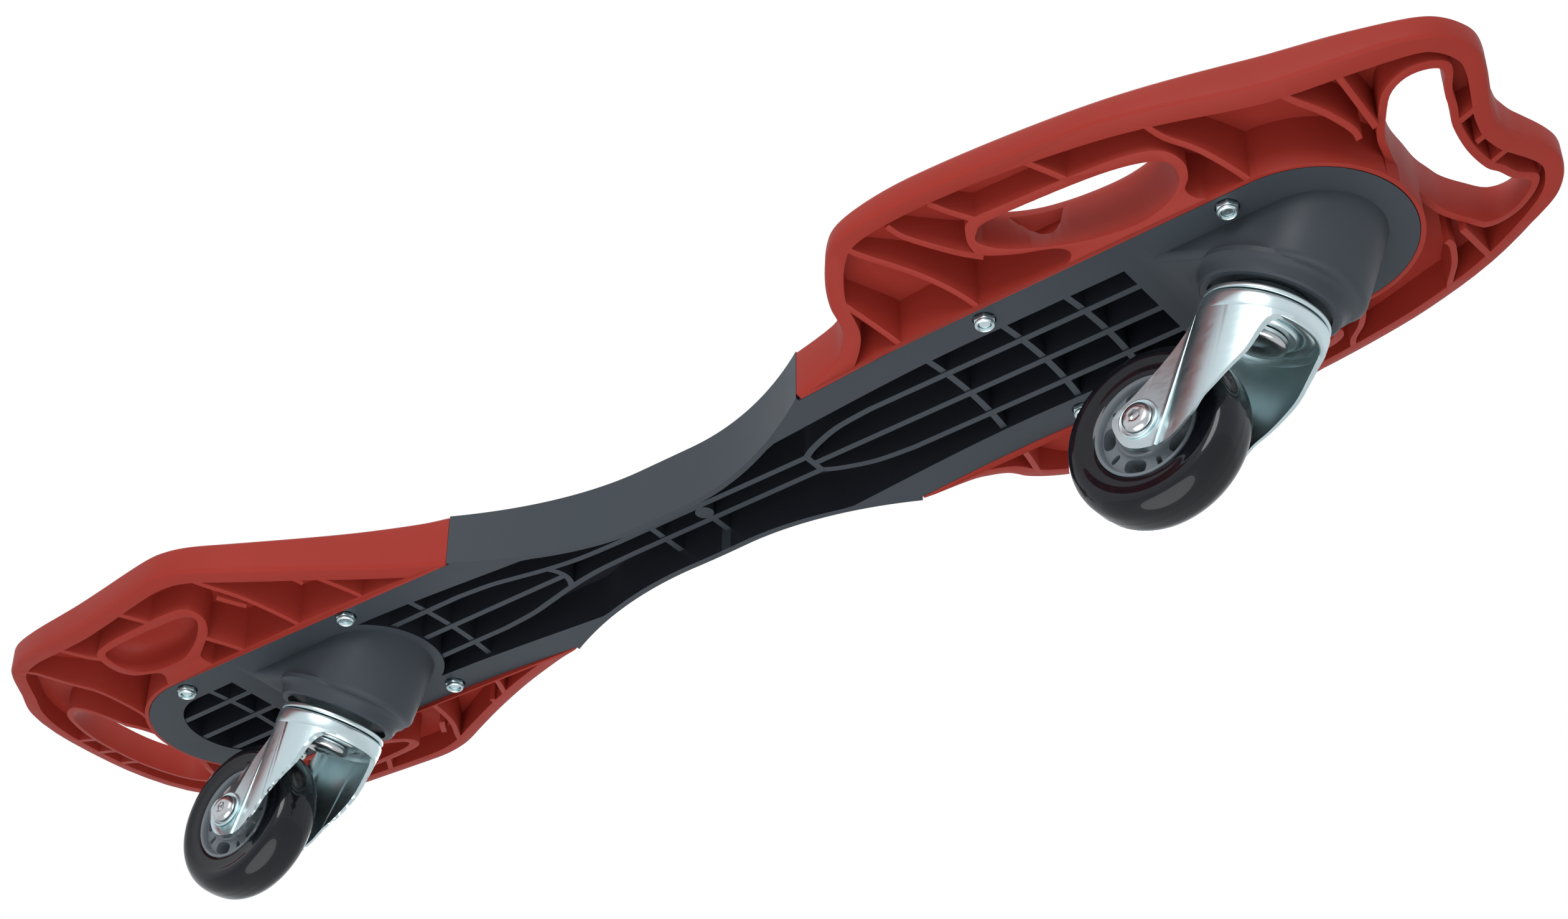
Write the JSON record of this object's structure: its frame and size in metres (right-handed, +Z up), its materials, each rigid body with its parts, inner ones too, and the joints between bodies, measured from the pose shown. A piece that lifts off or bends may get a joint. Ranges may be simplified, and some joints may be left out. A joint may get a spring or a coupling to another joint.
{
  "type": "caster board",
  "caption": "Caster board: two moulded decks on one ribbed frame with a narrow twisting neck, over two inclined swivelling casters with solid wheels.",
  "frame": {"origin": "on the ground under the middle of the board's length, between the two sides", "axes": "+X towards the nose, +Y to the rider's left when looking to the nose, +Z up"},
  "size_m": [0.8023, 0.2034, 0.1347],
  "materials": {
    "red_deck": "satin",
    "grey_frame": "satin",
    "zinc": "polished",
    "bright_steel": "polished",
    "grey_hub": "satin",
    "black_tyre": "gloss"
  },
  "bodies": {
    "front_half": {"frame_front": "grey_frame", "deck_front": "red_deck", "deck_bolt_front_1": "zinc", "deck_bolt_front_2": "zinc", "deck_bolt_front_3": "zinc", "deck_bolt_front_4": "zinc", "deck_nut_front_1": "zinc", "deck_nut_front_2": "zinc", "deck_nut_front_3": "zinc", "deck_nut_front_4": "zinc", "front_kingpin": "bright_steel", "front_kingpin_nut": "bright_steel", "front_kingpin_washer": "zinc", "front_upper_race": "zinc"},
    "front_ball_ring": {"front_swivel_balls": "bright_steel"},
    "front_caster": {"front_fork": "zinc", "front_lower_race": "zinc", "front_axle_bolt": "bright_steel", "front_axle_nut": "bright_steel", "front_bearing_spacer": "bright_steel", "front_axle_washer_near": "zinc", "front_axle_washer_far": "zinc", "front_wheel_washer_near": "bright_steel", "front_wheel_washer_far": "bright_steel", "front_bearing_inner_near": "bright_steel", "front_bearing_inner_far": "bright_steel"},
    "front_wheel": {"front_hub": "grey_hub", "front_tyre": "black_tyre", "front_bearing_outer_near": "bright_steel", "front_bearing_outer_far": "bright_steel"},
    "rear_half": {"frame_rear": "grey_frame", "deck_rear": "red_deck", "deck_bolt_rear_1": "zinc", "deck_bolt_rear_2": "zinc", "deck_bolt_rear_3": "zinc", "deck_bolt_rear_4": "zinc", "deck_nut_rear_1": "zinc", "deck_nut_rear_2": "zinc", "deck_nut_rear_3": "zinc", "deck_nut_rear_4": "zinc", "rear_kingpin": "bright_steel", "rear_kingpin_nut": "bright_steel", "rear_kingpin_washer": "zinc", "rear_upper_race": "zinc"},
    "rear_ball_ring": {"rear_swivel_balls": "bright_steel"},
    "rear_caster": {"rear_fork": "zinc", "rear_lower_race": "zinc", "rear_axle_bolt": "bright_steel", "rear_axle_nut": "bright_steel", "rear_bearing_spacer": "bright_steel", "rear_axle_washer_near": "zinc", "rear_axle_washer_far": "zinc", "rear_wheel_washer_near": "bright_steel", "rear_wheel_washer_far": "bright_steel", "rear_bearing_inner_near": "bright_steel", "rear_bearing_inner_far": "bright_steel"},
    "rear_wheel": {"rear_hub": "grey_hub", "rear_tyre": "black_tyre", "rear_bearing_outer_near": "bright_steel", "rear_bearing_outer_far": "bright_steel"}
  },
  "joints": [
    {"name": "neck_twist", "type": "hinge", "parent": "front_half", "child": "rear_half", "pos_m": [-0.004, 0, 0.104], "axis": [1, 0, 0], "range_deg": [-25, 25], "stiffness_Nm_per_rad": 60},
    {"name": "front_caster_swivel", "type": "hinge", "parent": "front_half", "child": "front_caster", "pos_m": [0.299, 0, 0.09926], "axis": [0.4147, 0, 0.91], "continuous": true},
    {"name": "front_ball_ring_turn", "type": "hinge", "parent": "front_half", "child": "front_ball_ring", "pos_m": [0.299, 0, 0.09926], "axis": [0.4147, 0, 0.91], "continuous": true},
    {"name": "front_wheel_spin", "type": "hinge", "parent": "front_caster", "child": "front_wheel", "pos_m": [0.23592, 0, 0.038], "axis": [0, 1, 0], "continuous": true},
    {"name": "rear_caster_swivel", "type": "hinge", "parent": "rear_half", "child": "rear_caster", "pos_m": [-0.205, 0, 0.09926], "axis": [0.4147, 0, 0.91], "continuous": true},
    {"name": "rear_ball_ring_turn", "type": "hinge", "parent": "rear_half", "child": "rear_ball_ring", "pos_m": [-0.205, 0, 0.09926], "axis": [0.4147, 0, 0.91], "continuous": true},
    {"name": "rear_wheel_spin", "type": "hinge", "parent": "rear_caster", "child": "rear_wheel", "pos_m": [-0.26808, 0, 0.038], "axis": [0, 1, 0], "continuous": true}
  ],
  "couplings": [
    {"joint": "front_ball_ring_turn", "follows": "front_caster_swivel", "ratio": 0.5},
    {"joint": "rear_ball_ring_turn", "follows": "rear_caster_swivel", "ratio": 0.5}
  ]
}
